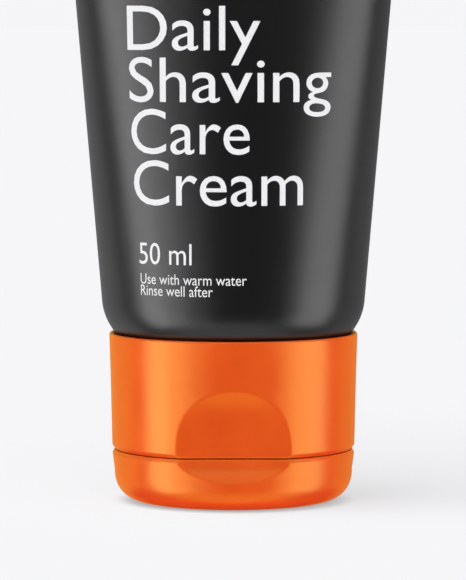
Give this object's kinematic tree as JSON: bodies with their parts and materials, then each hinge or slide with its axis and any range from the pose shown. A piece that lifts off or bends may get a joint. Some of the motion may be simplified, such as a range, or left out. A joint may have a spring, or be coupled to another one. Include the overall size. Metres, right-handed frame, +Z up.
{
  "type": "shaving cream tube",
  "caption": "Squeeze tube with a flat heat-sealed end, standing on its pressed-on flip-top cap, whose lid hinges open to free the dispensing nozzle.",
  "frame": {"origin": "centre of the lid's flat outer face, which the tube stands on", "axes": "+Z up along the tube's axis, from the lid to the heat seal; -Y is the front, with the thumb recess; the lid's hinge is at +Y; +X is to the right when looking at the front"},
  "size_m": [0.047, 0.03, 0.1258],
  "materials": {
    "sleeve_film": "matte black, fine grain",
    "head_plastic": "satin black, moulded",
    "cream": "white cream",
    "cap_plastic": "satin orange, moulded",
    "lid_plastic": "satin orange, moulded",
    "hinge_plastic": "satin orange, moulded thin"
  },
  "bodies": {
    "tube": {"tube_sleeve": "sleeve_film", "tube_head": "head_plastic", "shaving_cream": "cream", "cap_base": "cap_plastic", "hinge_film": "hinge_plastic", "hinge_strap_left": "hinge_plastic", "hinge_strap_right": "hinge_plastic"},
    "lid": {"lid": "lid_plastic"}
  },
  "joints": [
    {"name": "lid_hinge", "type": "hinge", "parent": "tube", "child": "lid", "pos_m": [0, 0.01345, 0.0061], "axis": [1, 0, 0], "range_deg": [0, 130], "deforming": ["hinge_film", "hinge_strap_left", "hinge_strap_right"]}
  ]
}
